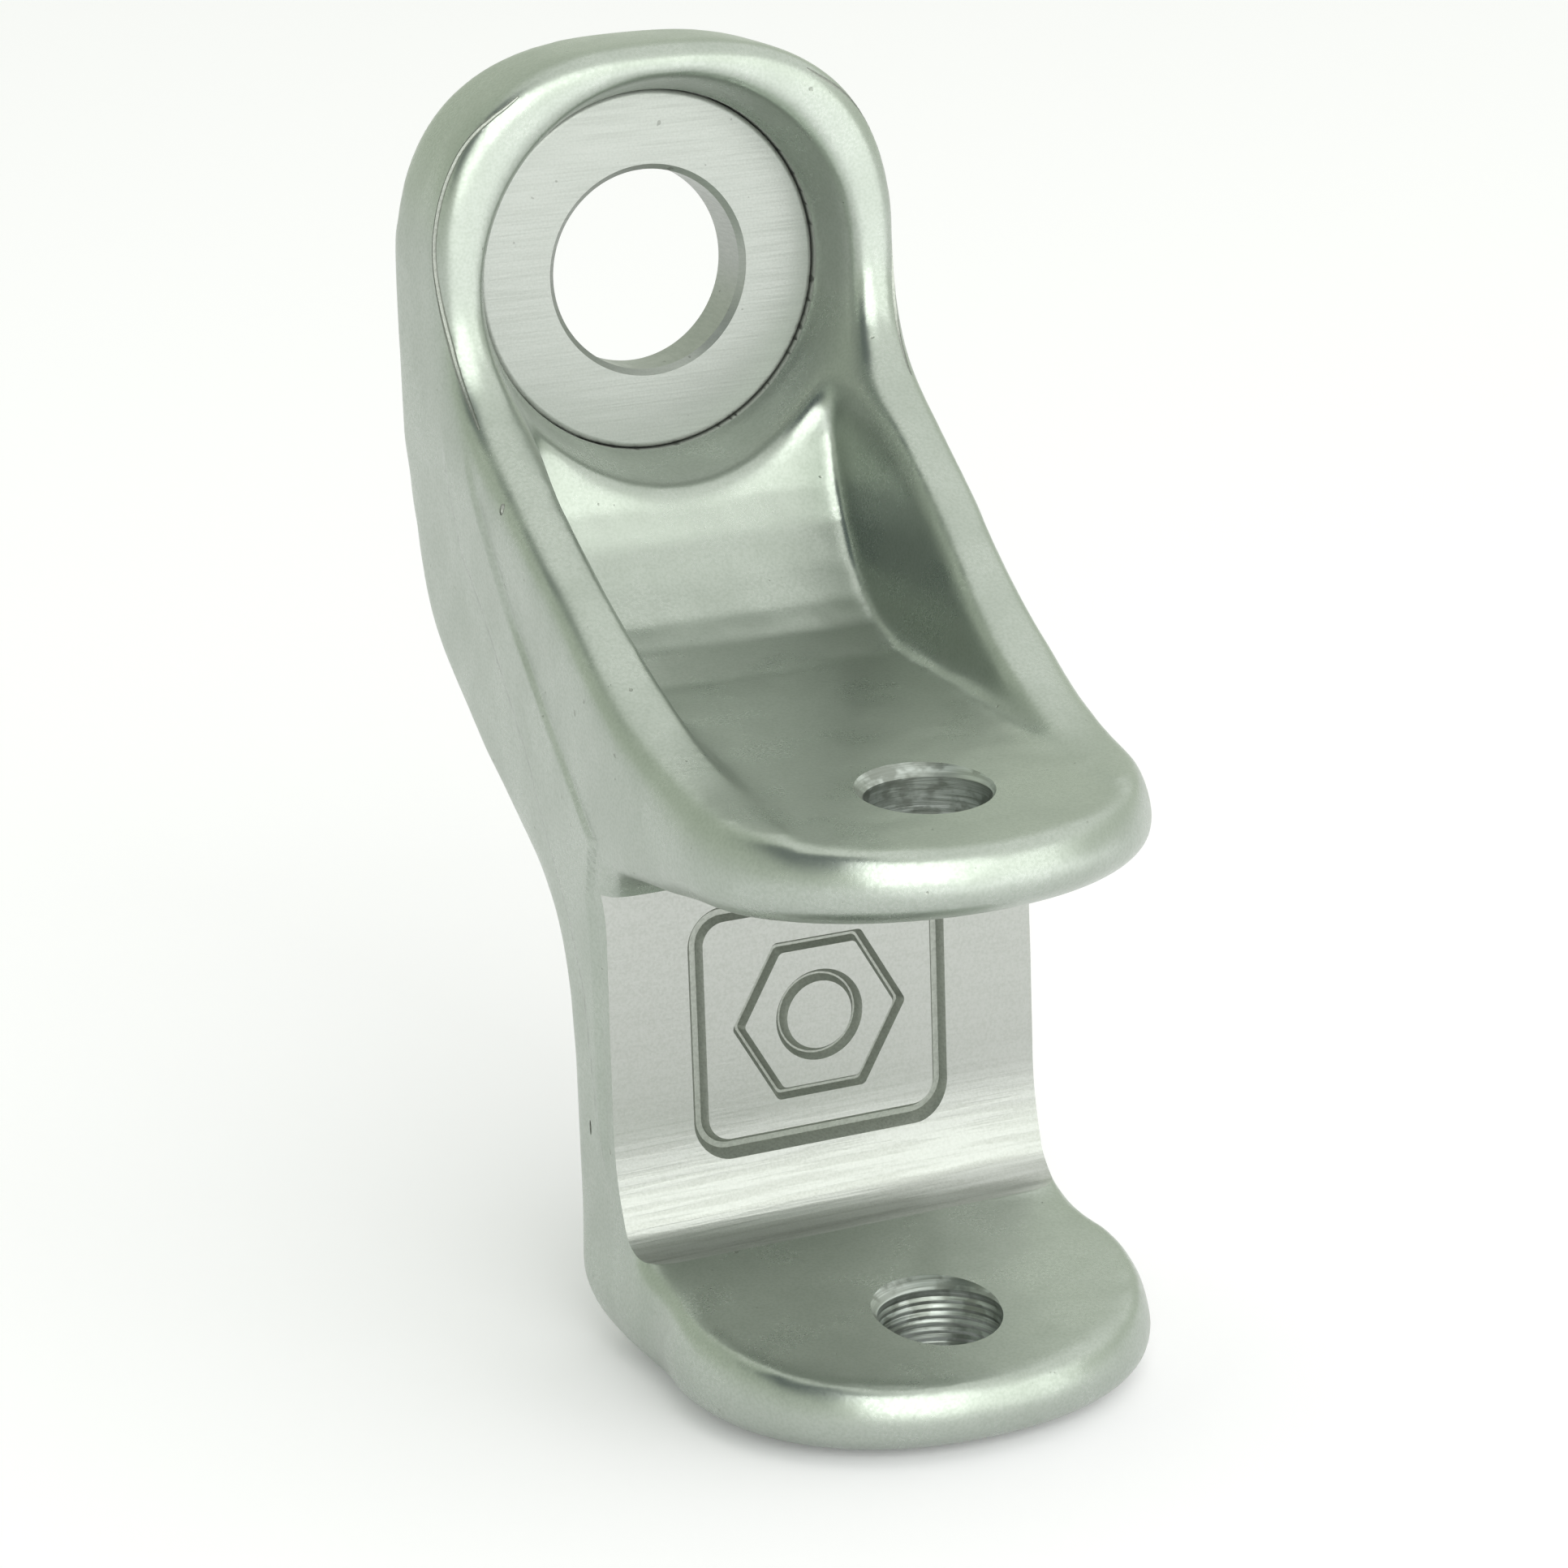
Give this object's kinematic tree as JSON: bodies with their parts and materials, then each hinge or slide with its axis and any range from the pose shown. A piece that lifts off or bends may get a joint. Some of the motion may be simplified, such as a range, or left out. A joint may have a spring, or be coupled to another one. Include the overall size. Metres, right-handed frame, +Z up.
{
  "type": "fork hitch bracket",
  "caption": "Forged fork bracket: an eye with a pressed-in ring for an axle, a scooped web and a two-lug clevis with a cross pin hole.",
  "frame": {"origin": "on the axle's line, at the front face of the eye ring", "axes": "+Z up along the hitch pin, +Y towards the back along the axle, +X to the right"},
  "size_m": [0.0264, 0.0434, 0.0633],
  "materials": {
    "satin_forged_alloy": "satin forged and tumbled alloy, with a milled clevis wall",
    "machined_ring": "fine turned and brushed face"
  },
  "bodies": {
    "root": {"forged_body": "satin_forged_alloy", "eye_ring": "machined_ring"}
  },
  "joints": []
}
